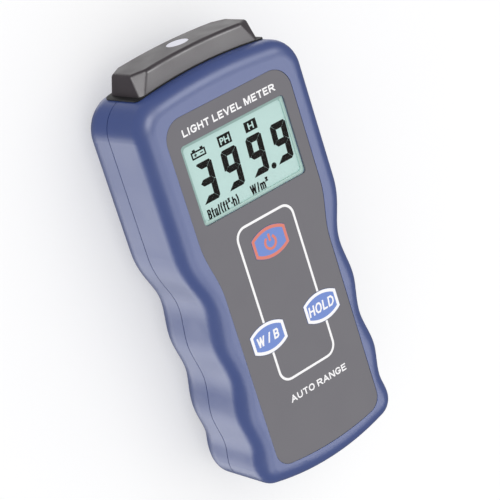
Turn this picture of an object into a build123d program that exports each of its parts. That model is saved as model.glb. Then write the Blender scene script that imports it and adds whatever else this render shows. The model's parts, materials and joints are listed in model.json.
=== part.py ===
from build123d import *
import os
from functools import cache
from math import copysign, cos, radians, sin, sqrt, tan

# Hand-held light meter, lying on its back. Millimetres.
# +Z comes out of the display, +Y points to the sensor head, +X is to the right seen from the front.
# The origin is on the back face, in the middle of the whole length and width.

# Case outline, seen from the front
DEPTH = 34.0                # back face to front face
BOTTOM_Y = -66.0            # middle of the bottom end
TOP_Y = 59.8                # middle of the case's top end
BOTTOM_RADIUS = 83.0        # the bottom end is a shallow arc
TOP_RADIUS = 157.0          # so is the top end
SHOULDER_WIDTH = 30.0       # half width beside the display
SHOULDER_Y = (13.0, 48.4)   # the straight sides run between these
GRIP = ((25.6, -6.0), (26.75, -17.0), (25.0, -29.0), (26.65, -40.5), (25.3, -50.5), (26.15, -57.0))

# Case section
WALL = 2.2
INSIDE_TOP = DEPTH - WALL
PARTING_Z = 17.0            # the shells meet here
PARTING_GAP = 0.3           # groove seen along the parting line
LIP_TOP = PARTING_Z + 1.5   # the rear shell's lip reaches up into the front shell
LIP_WALL = 1.05
FRONT_EDGE = 5.0            # radius round the front face
REAR_EDGE = 12.0            # radius round the back face
REAR_SWEEP = 74.0           # degrees of that radius, before it meets the flat back
EDGE_CENTRE_Z = REAR_EDGE * sin(radians(REAR_SWEEP))
FLOOR = EDGE_CENTRE_Z - (REAR_EDGE - WALL) * sin(radians(REAR_SWEEP))   # inner face of the back
SECTIONS = 5                # steps in the loft round the rear radius
SLIP = 0.1                  # clearance between pieces that fit into each other
OVER = 1.0                  # a cut runs past the surface that it opens by this

# Front film
FILM_Z = (33.4, 33.9)
FILM_WIDE, FILM_NARROW = 22.8, 20.1     # half widths beside the display and beside the keys
FILM_STEP_Y = (15.0, -3.0)              # the width changes between these
FILM_TOP_Y, FILM_BOTTOM_Y = 51.0, -57.7
FILM_BULGE = 2.1                        # the bottom edge bows out by this
FILM_TOP_CORNER, FILM_BOTTOM_CORNER = 6.5, 5.0

# Display, from the window down to the board
DISPLAY_Y = 30.9            # middle of the window
WINDOW = (38.2, 24.25)      # window size
WINDOW_CORNER = 1.2
WINDOW_Z = (33.1, 33.75)
WINDOW_BEVEL = 0.35
LEDGE = 0.9                 # the case holds the window all round by this much
LEDGE_BOTTOM = 32.6
GLASS = (40.0, 27.0)        # front glass
GLASS_POCKET = 0.6          # room round the front glass
FRONT_GLASS_Z = (31.45, 32.55)
POLARISER, POLARISER_Z = (35.6, 21.7), (32.55, 32.75)
REAR_GLASS, REAR_GLASS_Z = (40.0, 21.4), (30.35, 31.45)
REFLECTOR, REFLECTOR_Z = (38.0, 21.0), (28.75, 30.35)
FRAME, FRAME_TOP = (43.2, 30.4), 31.7
FRAME_ROOM = (40.2, 27.2)   # inside the frame
SHELF, SHELF_Z = (40.4, 21.0), (27.55, 28.75)       # carries the reflector
ZEBRA, ZEBRA_OFFSET = (38.0, 2.0), 12.1             # strip size, and distance from the middle

# Keys: each key pushes its plunger, and the plunger pushes its switch's actuator
KEY_WIDTH, KEY_SIDE, KEY_HEIGHT = 12.6, 5.4, 9.2    # barrel shape: straight sides, bowed top and bottom
KEY_CORNER = 0.3
KEY_PLACES = {"power": (0.0, 5.5), "unit": (-10.3, -20.2), "hold": (10.3, -20.2)}
KEY_Z = (32.75, 33.98)
KEY_FLOOR = 32.3            # the key's pocket, deeper than its travel
KEY_STEM = 2.5              # stem radius
KEY_SLIP = 0.07             # clearance round the keys in the film
COLLAR, COLLAR_BOTTOM = 4.0, 30.6       # guides the stem: radius and lower end
PLUNGER, PLUNGER_Z = 4.0, (29.75, 30.55)            # the wide part, which keeps the key in
ACTUATOR, ACTUATOR_Z = 1.7, (26.65, 28.4)
SWITCH, SWITCH_HEIGHT, SWITCH_WELL = 3.1, 3.4, 1.2  # half width, height, depth of the well

# Main board
BOARD_Z = (22.4, 24.0)
BOARD_WIDE, BOARD_NARROW = 26.8, 21.4   # half widths under the display and under the keys
BOARD_Y = (-38.0, 16.0, 46.0)           # lower end, change of width, upper end
CHIP, CHIP_Y, CHIP_HEIGHT = 5.0, 26.0, 1.4          # half width, place and height
PINS, PIN_PITCH, PIN, PIN_LENGTH = 11, 0.8, 0.17, 1.2
CRYSTAL_X, CRYSTAL_Y, CRYSTAL_HEIGHT = (-12.5, -8.5), (20.0, 31.0), 3.6
CRYSTAL_ROUND = 0.95        # its end radius against its half width
CAPACITOR, CAPACITOR_PLACE, CAPACITOR_HEIGHT = 3.15, (13.0, 22.0), 9.0
TRIMMER, TRIMMER_PLACE, TRIMMER_HEIGHT = 3.5, (13.0, 36.0), 4.5

# Battery
BATTERY = (26.5, 48.5, 17.5)
BATTERY_Y, BATTERY_Z = -58.0, 3.2       # lower end and lower face
BATTERY_EDGE = 2.5
BATTERY_END = BATTERY_Y + BATTERY[1]
BATTERY_MIDDLE = BATTERY_Z + BATTERY[2] / 2
BAY_WIDTH = 15.0            # half width inside the battery bay
BAY_Y, BAY_ROOF = (-59.5, -2.7), 21.0
BAY_WALL = 1.0
LEAD_HOLE = (5.0, 9.0, 15.0)            # half width, bottom and top of the hole for the leads
TERMINAL_X, TERMINAL, TERMINAL_HEIGHT = 6.35, 2.75, 3.0
SOCKET, SOCKET_HOLE = 4.4, 2.9          # the other terminal is a hexagonal socket
CLIP = (2.85, 4.2)          # inner and outer radius of the snap's ring
SNAP_THICKNESS, SNAP_HEIGHT = 1.8, 11.0
LEAD = 0.7                  # lead radius
BEND_SHARE = 0.45           # how much of a straight run each of its bends takes up
LEAD_ROUTE = (
    (3.0, BATTERY_END + TERMINAL_HEIGHT + SNAP_THICKNESS, BATTERY_MIDDLE),
    (3.0, 2.0, BATTERY_MIDDLE),
    (3.4, 8.2, 14.4),
    (3.6, 12.0, 17.4),
    (3.6, 12.0, BOARD_Z[0]),
)

# Battery door
DOOR_WIDTH, DOOR_MOUTH = 13.8, 15.2     # half widths: flat part, and the wider bottom end
DOOR_TOP_Y, DOOR_STEP_Y = -8.0, -50.0
DOOR_LIP_Z = 9.0            # the bottom end wraps up to here
DOOR_SET_BACK = 0.3         # the door sits this far inside the back plane
RAIL_WIDTH, RAIL_FOOT = 14.8, 1.6       # half width over the rails, and the width of each one's foot
RAIL_Z = (2.3, 3.1)
TAB, TAB_Y = 4.5, (-12.0, -6.5)         # the tab that hooks under the case at the door's top
GRIP_GROOVES, GROOVE_PITCH, GROOVE = 5, 2.0, (7.0, 0.5, 0.5)
FOAM_WIDTH, FOAM_Y = 10.0, (-48.0, -14.0)

# Screws
CASE_SCREWS = ((21.5, 49.6), (19.1, -46.5))
CASE_BOSS, CASE_BORE, CASE_PILOT, PILOT_TOP = 2.9, 1.6, 1.45, 26.0
RECESS, SEAT_Z = 2.8, 6.4   # recess in the back, and the seat that the screw's head pulls on
CASE_SCREW = (2.6, 2.0, 1.4, 24.5)      # head radius and height, shank radius and end
BOARD_SCREWS = ((24.2, 41.0), (18.8, -33.0))
BOARD_BOSS, BOARD_BORE, BOARD_PILOT, BOARD_PILOT_TOP = 2.4, 1.15, 0.95, 29.5
BOARD_SCREW = (1.9, 1.3, 0.9, 28.5)
CROSS = (0.55, 0.12, 0.55)  # a screw's cross: arm and half width against the head's radius, and depth

# Rating label
LABEL, LABEL_Y, LABEL_CORNER = (30.0, 34.0), 24.0, 1.2
LABEL_Z, LABEL_ROOM = (0.15, 0.3), 0.3

# Sensor head: the sloping faces are drawn between two eight-sided sections
HEAD_BASE = (57.0, 21.9, (10.5, 27.2), (0.5, 1.0))      # y, half width, z range, cut corners
HEAD_TOP = (67.0, 21.25, (12.2, 26.7), (5.4, 3.5))
HEAD_TOP_Y, HEAD_TOP_RADIUS = 66.0, 200.0
HEAD_EDGE = 1.3             # radius of its edges
LENGTHWISE = 0.7            # an edge whose direction has this much of Y runs up a slope
GASKET, GASKET_WIDTH, GASKET_Z = 0.4, 23.5, (10.4, 27.4)
GASKET_CORNER = 2.0
NECK_WIDTH, NECK_Y, NECK_Z = 15.0, (55.0, 61.5), (14.0, 24.0)
COLLAR_Y, COLLAR_OVERHANG = (54.8, 56.2), 1.45          # keeps the neck in the case
HEAD_ROOM = (17.0, (58.8, 64.2), (15.2, 22.6))          # half width, y and z inside the head
NECK_ROOM = (8.0, (15.8, 22.0))
SENSOR_Z = 18.9             # middle of the head and of everything in it
SENSOR_BOARD, SENSOR_BOARD_Y, SENSOR_BOARD_Z = 9.5, (58.8, 60.0), (15.4, 22.4)
PHOTODIODE, PHOTODIODE_Y = 2.3, (60.0, 61.9)
FILTER, FILTER_Y = 2.4, (61.9, 62.9)
TUBE, TUBE_Y = (2.5, 3.4), (60.0, 63.6)                 # holds the filter over the photodiode
DIFFUSER, DIFFUSER_Y = 3.3, (64.5, 65.95)
DIFFUSER_STEM, STEM_Y = 2.4, (63.0, 64.5)
HEADER, HEADER_Y, HEADER_DEPTH = 4.0, (42.5, 46.0), 2.6
HEADER_PIN, HEADER_PITCH, HEADER_PIN_Z = 0.32, 2.54, (20.78, 21.42)


# Shared shapes

def block(x, y, z):
    """A box from its ranges along x, y and z."""
    size = [high - low for low, high in (x, y, z)]
    middle = [(low + high) / 2 for low, high in (x, y, z)]
    return Pos(*middle) * Box(*size)


def bar(half_width, y, z):
    """A box across the middle."""
    return block((-half_width, half_width), y, z)


def post(x, y, z, radius):
    """A cylinder standing along Z over the range z."""
    return Pos(x, y, (z[0] + z[1]) / 2) * Cylinder(radius, z[1] - z[0])


def rod(x, y, z, radius):
    """A cylinder lying along Y over the range y."""
    return Pos(x, (y[0] + y[1]) / 2, z) * Rot(90, 0, 0) * Cylinder(radius, y[1] - y[0])


def prism(face, z):
    """A face drawn on the XY plane, made solid over the range z."""
    return extrude(Pos(0, 0, z[0]) * face, z[1] - z[0], dir=(0, 0, 1))


def both_sides(places):
    """Each place, and its mirror image across the middle."""
    return [(side * x, y) for x, y in places for side in (-1, 1)]


def group(pieces):
    """Separate solids that share one node."""
    return Compound(children=[solid for piece in pieces for solid in piece.solids()])


def mirrored_face(half, middle):
    """A face from the edges of its right side and the edges that cross the middle."""
    return Face(Wire(middle + half + [edge.mirror(Plane.YZ) for edge in half]))


def corner_end(half_width, side_y, end_y, end_radius):
    """Where the corner that starts at (half_width, side_y) runs smoothly into the end arc."""
    centre = end_y - copysign(end_radius, end_y)
    rise = side_y - centre
    radius = (end_radius**2 - half_width**2 - rise**2) / (2 * (end_radius - half_width))
    reach = end_radius / (end_radius - radius)
    return (half_width - radius) * reach, centre + rise * reach


def outline(inset):
    """The case outline as a face, drawn in by inset all round."""
    top, bottom = TOP_Y - inset, BOTTOM_Y + inset

    def drawn_in(x, y):
        return x - inset, y * (top / TOP_Y if y > 0 else bottom / BOTTOM_Y)

    grip = [drawn_in(x, y) for x, y in GRIP]
    shoulder = [drawn_in(SHOULDER_WIDTH, y) for y in SHOULDER_Y]
    low_corner = corner_end(*grip[-1], bottom, BOTTOM_RADIUS - inset)
    high_corner = corner_end(*shoulder[1], top, TOP_RADIUS - inset)
    side = [
        TangentArc(grip[-1], low_corner, tangent=(0, -1)),
        Spline(shoulder[0], *grip, tangents=[(0, -1)] * (len(grip) + 1)),
        Line(*shoulder),
        TangentArc(shoulder[1], high_corner, tangent=(0, 1)),
    ]
    ends = [
        ThreePointArc((-low_corner[0], low_corner[1]), (0, bottom), low_corner),
        ThreePointArc((-high_corner[0], high_corner[1]), (0, top), high_corner),
    ]
    return mirrored_face(side, ends)


@cache
def front_form(inset):
    """The front half as a solid, with its front edge rounded."""
    form = prism(outline(inset), (PARTING_Z, DEPTH - inset))
    return fillet(form.faces().sort_by(Axis.Z)[-1].edges(), FRONT_EDGE - inset)


@cache
def rear_form(inset):
    """The rear half as a solid: straight sides, then a large radius down to the flat back."""
    radius = REAR_EDGE - inset
    angles = [radians(REAR_SWEEP * step / SECTIONS) for step in range(SECTIONS + 1)]
    sections = [
        Pos(0, 0, EDGE_CENTRE_Z - radius * sin(angle)) * outline(inset + radius * (1 - cos(angle)))
        for angle in angles
    ]
    return loft(sections) + prism(outline(inset), (EDGE_CENTRE_Z, PARTING_Z))


def end_slab(low, high, z):
    """The layer between two arcs that follow the case's top end. Each is its middle's y and its radius."""
    arcs = []
    for y, radius in (low, high):
        drop = radius - sqrt(radius**2 - SHOULDER_WIDTH**2)
        arcs.append(ThreePointArc((-SHOULDER_WIDTH, y - drop), (0, y), (SHOULDER_WIDTH, y - drop)))
    sides = [Line(arcs[0] @ end, arcs[1] @ end) for end in (0, 1)]
    return prism(Face(Wire(arcs + sides)), z)


def barrel(extra):
    """The key's outline, larger by extra all round."""
    x, side, middle = KEY_WIDTH / 2 + extra, KEY_SIDE / 2 + extra / 2, KEY_HEIGHT / 2 + extra
    bows = [
        ThreePointArc((-x, sign * side), (0, sign * middle), (x, sign * side)) for sign in (-1, 1)
    ]
    face = mirrored_face([Line((x, side), (x, -side))], bows)
    return fillet(face.vertices(), KEY_CORNER)


def film_outline(extra):
    """The front film's outline, larger by extra all round."""
    wide, narrow = FILM_WIDE + extra, FILM_NARROW + extra
    top, bottom, bulge = FILM_TOP_Y + extra, FILM_BOTTOM_Y, FILM_BULGE + extra
    step_top, step_bottom = FILM_STEP_Y
    side = [
        Line((wide, top), (wide, step_top)),
        Spline((wide, step_top), (narrow, step_bottom), tangents=[(0, -1), (0, -1)]),
        Line((narrow, step_bottom), (narrow, bottom)),
    ]
    ends = [
        Line((-wide, top), (wide, top)),
        ThreePointArc((-narrow, bottom), (0, bottom - bulge), (narrow, bottom)),
    ]
    face = mirrored_face(side, ends)
    face = fillet(face.vertices().sort_by(Axis.Y)[:2], FILM_BOTTOM_CORNER)
    return fillet(face.vertices().sort_by(Axis.Y)[-2:], FILM_TOP_CORNER)


def window(shrink, z):
    """The window's rounded rectangle, smaller by shrink all round, over the range z."""
    size = [side - 2 * shrink for side in WINDOW]
    return prism(Pos(0, DISPLAY_Y) * RectangleRounded(*size, WINDOW_CORNER), z)


def display_block(size, z, offset=0):
    """A plain rectangle in the middle of the display, or offset from it along y."""
    width, height = size
    middle = DISPLAY_Y + offset
    return bar(width / 2, (middle - height / 2, middle + height / 2), z)


def at_keys(make):
    """What make() gives, at each key's place."""
    return {name: Pos(*place, 0) * make() for name, place in KEY_PLACES.items()}


def screws(places, seat, sizes):
    """Cross-head screws that point along +Z from their seat."""
    head, height, shank, end = sizes
    arm, half, depth = CROSS
    made = []
    for x, y in both_sides(places):
        top = post(x, y, (seat - height, seat), head)
        top = fillet(top.faces().sort_by(Axis.Z)[0].edges(), height / 4)
        level = (seat - height - OVER, seat - height * (1 - depth))
        for wide, tall in ((arm, half), (half, arm)):
            top -= Pos(x, y, 0) * block((-wide * head, wide * head), (-tall * head, tall * head), level)
        made.append(top + post(x, y, (seat, end), shank))
    return group(made)


# Case

def neck_opening():
    """The hole in the case's top end that the sensor head's neck goes through."""
    low, high = NECK_Z
    return bar(NECK_WIDTH + SLIP, (NECK_Y[0] - OVER, TOP_Y + OVER), (low - SLIP, high + SLIP))


def key_pocket():
    pocket = prism(barrel(SLIP), (KEY_FLOOR, DEPTH))
    return pocket + post(0, 0, (COLLAR_BOTTOM - OVER, KEY_FLOOR), KEY_STEM + SLIP)


def front_shell():
    shell = front_form(0) - front_form(WALL)
    for x, y in both_sides(CASE_SCREWS):
        shell += post(x, y, (PARTING_Z, INSIDE_TOP), CASE_BOSS)
    for x, y in both_sides(BOARD_SCREWS):
        shell += post(x, y, (BOARD_Z[1], INSIDE_TOP), BOARD_BOSS)
    for collar in at_keys(lambda: post(0, 0, (COLLAR_BOTTOM, INSIDE_TOP), COLLAR)).values():
        shell += collar
    shell -= prism(outline(LIP_WALL) - outline(WALL), (PARTING_Z, LIP_TOP))
    shell -= prism(film_outline(SLIP), (FILM_Z[0], DEPTH))
    shell -= window(0, (WINDOW_Z[0], DEPTH))
    shell -= window(LEDGE, (INSIDE_TOP, WINDOW_Z[0]))
    shell -= display_block([side + 2 * GLASS_POCKET for side in GLASS], (INSIDE_TOP - SLIP, LEDGE_BOTTOM))
    for pocket in at_keys(key_pocket).values():
        shell -= pocket
    for x, y in both_sides(CASE_SCREWS):
        shell -= post(x, y, (PARTING_Z, PILOT_TOP), CASE_PILOT)
    for x, y in both_sides(BOARD_SCREWS):
        shell -= post(x, y, (BOARD_Z[1], BOARD_PILOT_TOP), BOARD_PILOT)
    return shell - neck_opening()


def battery_bay():
    """Walls and roof of the battery's bay, open to the back, kept inside the case."""
    low, high = BAY_Y
    walls = bar(BAY_WIDTH + BAY_WALL, (low - BAY_WALL, high + BAY_WALL), (FLOOR - OVER, BAY_ROOF + BAY_WALL))
    room = bar(BAY_WIDTH, BAY_Y, (0, BAY_ROOF))
    hole, hole_low, hole_high = LEAD_HOLE
    leads = bar(hole, (high - OVER, high + 2 * BAY_WALL), (hole_low, hole_high))
    kept = rear_form(WALL / 2) + prism(outline(WALL), (PARTING_Z, INSIDE_TOP))
    return (walls - room - leads) & kept


def door_space(slack, bottom):
    """The space of the battery door, larger by slack: its flat part and its wider bottom end."""
    flat = bar(DOOR_WIDTH + slack, (DOOR_STEP_Y - OVER, DOOR_TOP_Y + slack), (bottom, RAIL_Z[0]))
    mouth = bar(DOOR_MOUTH + slack, (BOTTOM_Y - OVER, DOOR_STEP_Y + slack), (bottom, DOOR_LIP_Z + slack))
    return flat + mouth


def rear_shell():
    rim = PARTING_Z - PARTING_GAP
    shell = rear_form(0) - rear_form(WALL)
    shell -= bar(SHOULDER_WIDTH + OVER, (BOTTOM_Y - OVER, TOP_Y + OVER), (rim, PARTING_Z + OVER))
    shell += prism(outline(LIP_WALL + SLIP) - outline(WALL), (rim - OVER, LIP_TOP))
    shell += battery_bay()
    for x, y in both_sides(CASE_SCREWS):
        shell += post(x, y, (FLOOR - OVER, PARTING_Z), CASE_BOSS) & rear_form(0)
    for x, y in both_sides(CASE_SCREWS):
        shell -= post(x, y, (-OVER, SEAT_Z), RECESS)
        shell -= post(x, y, (SEAT_Z - OVER, PARTING_Z + OVER), CASE_BORE)
    label_room = RectangleRounded(*[side + 2 * LABEL_ROOM for side in LABEL], LABEL_CORNER + LABEL_ROOM)
    shell -= prism(Pos(0, LABEL_Y) * label_room, (0, LABEL_Z[1]))
    return shell - door_space(SLIP, -OVER) - neck_opening()


def case_screws():
    return screws(CASE_SCREWS, SEAT_Z, CASE_SCREW)


def rating_label():
    return prism(Pos(0, LABEL_Y) * RectangleRounded(*LABEL, LABEL_CORNER), LABEL_Z)


def overlay_panel():
    film = prism(film_outline(0), FILM_Z) - window(0, FILM_Z)
    for key in at_keys(lambda: prism(barrel(KEY_SLIP), FILM_Z)).values():
        film -= key
    return film


# Battery and its door

def battery_door():
    door = (rear_form(0) & door_space(0, DOOR_SET_BACK)) - rear_form(WALL)
    rail_y = (DOOR_STEP_Y - OVER, DOOR_TOP_Y - OVER)
    inner = DOOR_WIDTH - RAIL_FOOT
    for side in (-1, 1):
        door += block(sorted((side * inner, side * RAIL_WIDTH)), rail_y, RAIL_Z)
        door += block(sorted((side * inner, side * DOOR_WIDTH)), rail_y, (FLOOR - SLIP, RAIL_Z[0]))
    door += bar(TAB, TAB_Y, RAIL_Z)
    door += bar(TAB, (TAB_Y[0], DOOR_TOP_Y), (FLOOR - SLIP, RAIL_Z[0]))
    half, width, depth = GROOVE
    for index in range(GRIP_GROOVES):
        y = TAB_Y[0] - (index + 1) * GROOVE_PITCH
        door -= bar(half, (y - width, y + width), (0, DOOR_SET_BACK + depth))
    return door


def door_foam():
    return bar(FOAM_WIDTH, FOAM_Y, (FLOOR, BATTERY_Z - SLIP))


def battery():
    width, length, height = BATTERY
    jacket = bar(width / 2, (BATTERY_Y, BATTERY_END), (BATTERY_Z, BATTERY_Z + height))
    return fillet(jacket.edges().filter_by(Axis.Y), BATTERY_EDGE)


def battery_terminals():
    """A round stud and a hexagonal socket."""
    stud = rod(-TERMINAL_X, (BATTERY_END, BATTERY_END + TERMINAL_HEIGHT), BATTERY_MIDDLE, TERMINAL)
    hexagon = extrude(RegularPolygon(SOCKET, 6), TERMINAL_HEIGHT)
    socket = hexagon - Cylinder(SOCKET_HOLE, 4 * TERMINAL_HEIGHT)
    return group([stud, Pos(TERMINAL_X, BATTERY_END, BATTERY_MIDDLE) * Rot(-90, 0, 0) * socket])


def snap_contacts():
    """The snap's ring round the battery's stud, and its own stud in the battery's socket."""
    y = (BATTERY_END + 4 * SLIP, BATTERY_END + TERMINAL_HEIGHT)
    inner, outer = CLIP
    ring = rod(-TERMINAL_X, y, BATTERY_MIDDLE, outer) - rod(-TERMINAL_X, y, BATTERY_MIDDLE, inner)
    return group([ring, rod(TERMINAL_X, y, BATTERY_MIDDLE, TERMINAL)])


def battery_snap():
    start = BATTERY_END + TERMINAL_HEIGHT
    half_width, half_height = BATTERY[0] / 2 - OVER, SNAP_HEIGHT / 2
    plate = bar(
        half_width,
        (start, start + SNAP_THICKNESS),
        (BATTERY_MIDDLE - half_height, BATTERY_MIDDLE + half_height),
    )
    return fillet(plate.edges().filter_by(Axis.Y), half_height / 2)


def battery_lead(side):
    """A lead from the snap up to the board's underside. Prints its length, bends and volume."""
    points = [Vector(side * x, y, z) for x, y, z in LEAD_ROUTE]
    bends = []
    for before, corner, after in zip(points, points[1:], points[2:]):
        turn = (corner - before).get_angle(after - corner)
        run = min((corner - before).length, (after - corner).length)
        bends.append(BEND_SHARE * run / tan(radians(turn / 2)))
    path = FilletPolyline(*points, radius=bends)
    section = Plane(origin=path @ 0, z_dir=path % 0) * Circle(LEAD)
    lead = sweep(section, path)
    volume_share = lead.volume / (section.area * path.length)
    print(f"lead {path.length:.1f} mm, bends {[round(bend, 1) for bend in bends]}, volume {volume_share:.3f}")
    return lead


def battery_lead_red():
    return battery_lead(-1)


def battery_lead_black():
    return battery_lead(1)


# Display

def display_window():
    lens = window(SLIP / 2, WINDOW_Z)
    return chamfer(lens.faces().sort_by(Axis.Z)[-1].edges(), WINDOW_BEVEL)


def lcd_polariser():
    return display_block(POLARISER, POLARISER_Z)


def lcd_front_glass():
    return display_block(GLASS, FRONT_GLASS_Z)


def lcd_rear_glass():
    return display_block(REAR_GLASS, REAR_GLASS_Z)


def lcd_reflector():
    return display_block(REFLECTOR, REFLECTOR_Z)


def lcd_frame():
    """Walls round the display, standing on the board, with a shelf under the reflector."""
    walls = display_block(FRAME, (BOARD_Z[1], FRAME_TOP)) - display_block(FRAME_ROOM, (BOARD_Z[1], FRAME_TOP))
    return walls + display_block(SHELF, SHELF_Z)


def zebra_strips():
    """Rubber connectors from the board up to the front glass, above and below the rear glass."""
    level = (BOARD_Z[1], FRONT_GLASS_Z[0])
    return group([display_block(ZEBRA, level, side * ZEBRA_OFFSET) for side in (-1, 1)])


# Main board, with its parts on the underside

def under_board(height):
    """The range z of something this tall on the board's underside."""
    return BOARD_Z[0] - height, BOARD_Z[0]


def main_board():
    low, step, high = BOARD_Y
    board = bar(BOARD_WIDE, (step, high), BOARD_Z) + bar(BOARD_NARROW, (low, step), BOARD_Z)
    for x, y in both_sides(BOARD_SCREWS):
        board -= post(x, y, (BOARD_Z[0] - OVER, BOARD_Z[1] + OVER), BOARD_BORE)
    return board


def board_screws():
    return screws(BOARD_SCREWS, BOARD_Z[0], BOARD_SCREW)


def main_chip():
    body = bar(CHIP, (CHIP_Y - CHIP, CHIP_Y + CHIP), (BOARD_Z[0] - SLIP - CHIP_HEIGHT, BOARD_Z[0] - SLIP))
    return chamfer(body.faces().sort_by(Axis.Z)[0].edges(), CHIP_HEIGHT / 5)


def chip_pins():
    """Flat pins along each side of the chip, resting on the board."""
    level = under_board(2 * PIN)
    pins = []
    for index in range(PINS):
        along = (index - (PINS - 1) / 2) * PIN_PITCH
        across = (along - PIN, along + PIN)
        for side in (-1, 1):
            away = sorted((side * CHIP, side * (CHIP + PIN_LENGTH)))
            pins += [block(away, across, level), block(across, away, level)]
    return group([Pos(0, CHIP_Y, 0) * pin for pin in pins])


def crystal():
    can = block(CRYSTAL_X, CRYSTAL_Y, under_board(CRYSTAL_HEIGHT))
    return fillet(can.edges().filter_by(Axis.Z), CRYSTAL_ROUND * (CRYSTAL_X[1] - CRYSTAL_X[0]) / 2)


def capacitor():
    can = post(*CAPACITOR_PLACE, under_board(CAPACITOR_HEIGHT), CAPACITOR)
    return fillet(can.faces().sort_by(Axis.Z)[0].edges(), CAPACITOR / 6)


def trimmer():
    """A small square potentiometer with a slotted round adjuster."""
    level = under_board(TRIMMER_HEIGHT)
    body = block((-TRIMMER, TRIMMER), (-TRIMMER, TRIMMER), level)
    adjuster = post(0, 0, (level[0] - TRIMMER / 6, level[0]), TRIMMER / 1.6)
    slot = bar(TRIMMER / 2, (-TRIMMER / 14, TRIMMER / 14), (level[0] - OVER, level[0] - SLIP))
    return Pos(*TRIMMER_PLACE, 0) * (body + adjuster - slot)


# Keys and switches

def key():
    return prism(barrel(0), KEY_Z) + post(0, 0, (PLUNGER_Z[1], KEY_Z[0]), KEY_STEM)


def plunger():
    return post(0, 0, PLUNGER_Z, PLUNGER) + post(0, 0, (ACTUATOR_Z[1], PLUNGER_Z[0]), ACTUATOR)


def actuator():
    return post(0, 0, ACTUATOR_Z, ACTUATOR)


def switch_housing():
    top = BOARD_Z[1] + SWITCH_HEIGHT
    body = block((-SWITCH, SWITCH), (-SWITCH, SWITCH), (BOARD_Z[1], top))
    return body - post(0, 0, (top - SWITCH_WELL, top), ACTUATOR + SLIP)


def switch_housings():
    return group(at_keys(switch_housing).values())


# Sensor head

def head_section(y, width, z, corner):
    """A rectangle across the head at y, with its four corners cut off."""
    (low, high), (cut_x, cut_z) = z, corner
    half = [(width - cut_x, low), (width, low + cut_z), (width, high - cut_z), (width - cut_x, high)]
    points = half + [(-x, z_end) for x, z_end in reversed(half)]
    return Face(Wire.make_polygon([(x, y, z_end) for x, z_end in points], close=True))


def head_form():
    """The head's outside: sloping faces between the case's arc and its own top arc."""
    form = loft([head_section(*HEAD_BASE), head_section(*HEAD_TOP)], ruled=True)
    form &= end_slab((TOP_Y + GASKET, TOP_RADIUS + GASKET), (HEAD_TOP_Y, HEAD_TOP_RADIUS), (0, DEPTH))
    ridges = [edge for edge in form.edges() if abs(edge.tangent_at(0.5).Y) > LENGTHWISE]
    form = fillet(ridges, HEAD_EDGE)
    return fillet(form.faces().sort_by(Axis.Y)[-1].edges(), HEAD_EDGE)


def sensor_head():
    """The head, with its neck, the collar that keeps it in the case, and room for the sensor."""
    low, high = NECK_Z
    head = head_form() + bar(NECK_WIDTH, NECK_Y, NECK_Z)
    head += bar(NECK_WIDTH + COLLAR_OVERHANG, COLLAR_Y, (low - COLLAR_OVERHANG, high + COLLAR_OVERHANG))
    head -= bar(*HEAD_ROOM)
    width, level = NECK_ROOM
    head -= bar(width, (COLLAR_Y[0] - OVER, SENSOR_BOARD_Y[0]), level)
    head -= rod(0, (PHOTODIODE_Y[0], STEM_Y[1]), SENSOR_Z, DIFFUSER_STEM + SLIP)
    return head - rod(0, (DIFFUSER_Y[0], HEAD_TOP_Y + OVER), SENSOR_Z, DIFFUSER + SLIP / 2)


def head_gasket():
    """A thin rim that follows the case's top end under the head."""
    layer = end_slab((TOP_Y, TOP_RADIUS), (TOP_Y + GASKET, TOP_RADIUS + GASKET), GASKET_Z)
    plan = bar(GASKET_WIDTH, (NECK_Y[0], HEAD_TOP_Y), GASKET_Z)
    plan = fillet(plan.edges().filter_by(Axis.Y), GASKET_CORNER)
    low, high = NECK_Z
    return (layer & plan) - bar(NECK_WIDTH + SLIP, (NECK_Y[0], HEAD_TOP_Y), (low - SLIP, high + SLIP))


def diffuser():
    disc = rod(0, DIFFUSER_Y, SENSOR_Z, DIFFUSER)
    disc = fillet(disc.faces().sort_by(Axis.Y)[-1].edges(), SLIP)
    return disc + rod(0, STEM_Y, SENSOR_Z, DIFFUSER_STEM)


def optical_filter():
    return rod(0, FILTER_Y, SENSOR_Z, FILTER)


def filter_collar():
    inner, outer = TUBE
    return rod(0, TUBE_Y, SENSOR_Z, outer) - rod(0, TUBE_Y, SENSOR_Z, inner)


def photodiode():
    return rod(0, PHOTODIODE_Y, SENSOR_Z, PHOTODIODE)


def sensor_board():
    return bar(SENSOR_BOARD, SENSOR_BOARD_Y, SENSOR_BOARD_Z)


def sensor_header():
    return bar(HEADER, HEADER_Y, under_board(HEADER_DEPTH))


def sensor_pins():
    """Pins from the header on the main board to the sensor board."""
    y = (HEADER_Y[1], SENSOR_BOARD_Y[0])
    places = (-HEADER_PITCH, 0, HEADER_PITCH)
    return group([block((x - HEADER_PIN, x + HEADER_PIN), y, HEADER_PIN_Z) for x in places])


def nodes():
    """Every piece, by the name of its node."""
    pieces = [
        front_shell, rear_shell, case_screws, rating_label, overlay_panel,
        battery_door, door_foam, battery, battery_terminals, snap_contacts, battery_snap,
        battery_lead_red, battery_lead_black,
        display_window, lcd_polariser, lcd_front_glass, lcd_rear_glass, lcd_reflector, lcd_frame,
        zebra_strips, main_board, board_screws, main_chip, chip_pins, crystal, capacitor, trimmer,
        switch_housings, sensor_head, head_gasket, diffuser, optical_filter, filter_collar,
        photodiode, sensor_board, sensor_header, sensor_pins,
    ]
    made = {piece.__name__: piece() for piece in pieces}
    for make in (key, plunger, actuator):
        made.update({f"{name}_{make.__name__}": piece for name, piece in at_keys(make).items()})
    return made


os.makedirs("parts", exist_ok=True)
for node_name, node_shape in nodes().items():
    export_step(node_shape, f"parts/{node_name}.step")
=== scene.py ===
import json
import math

import bpy
from mathutils import Matrix, Vector


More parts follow.
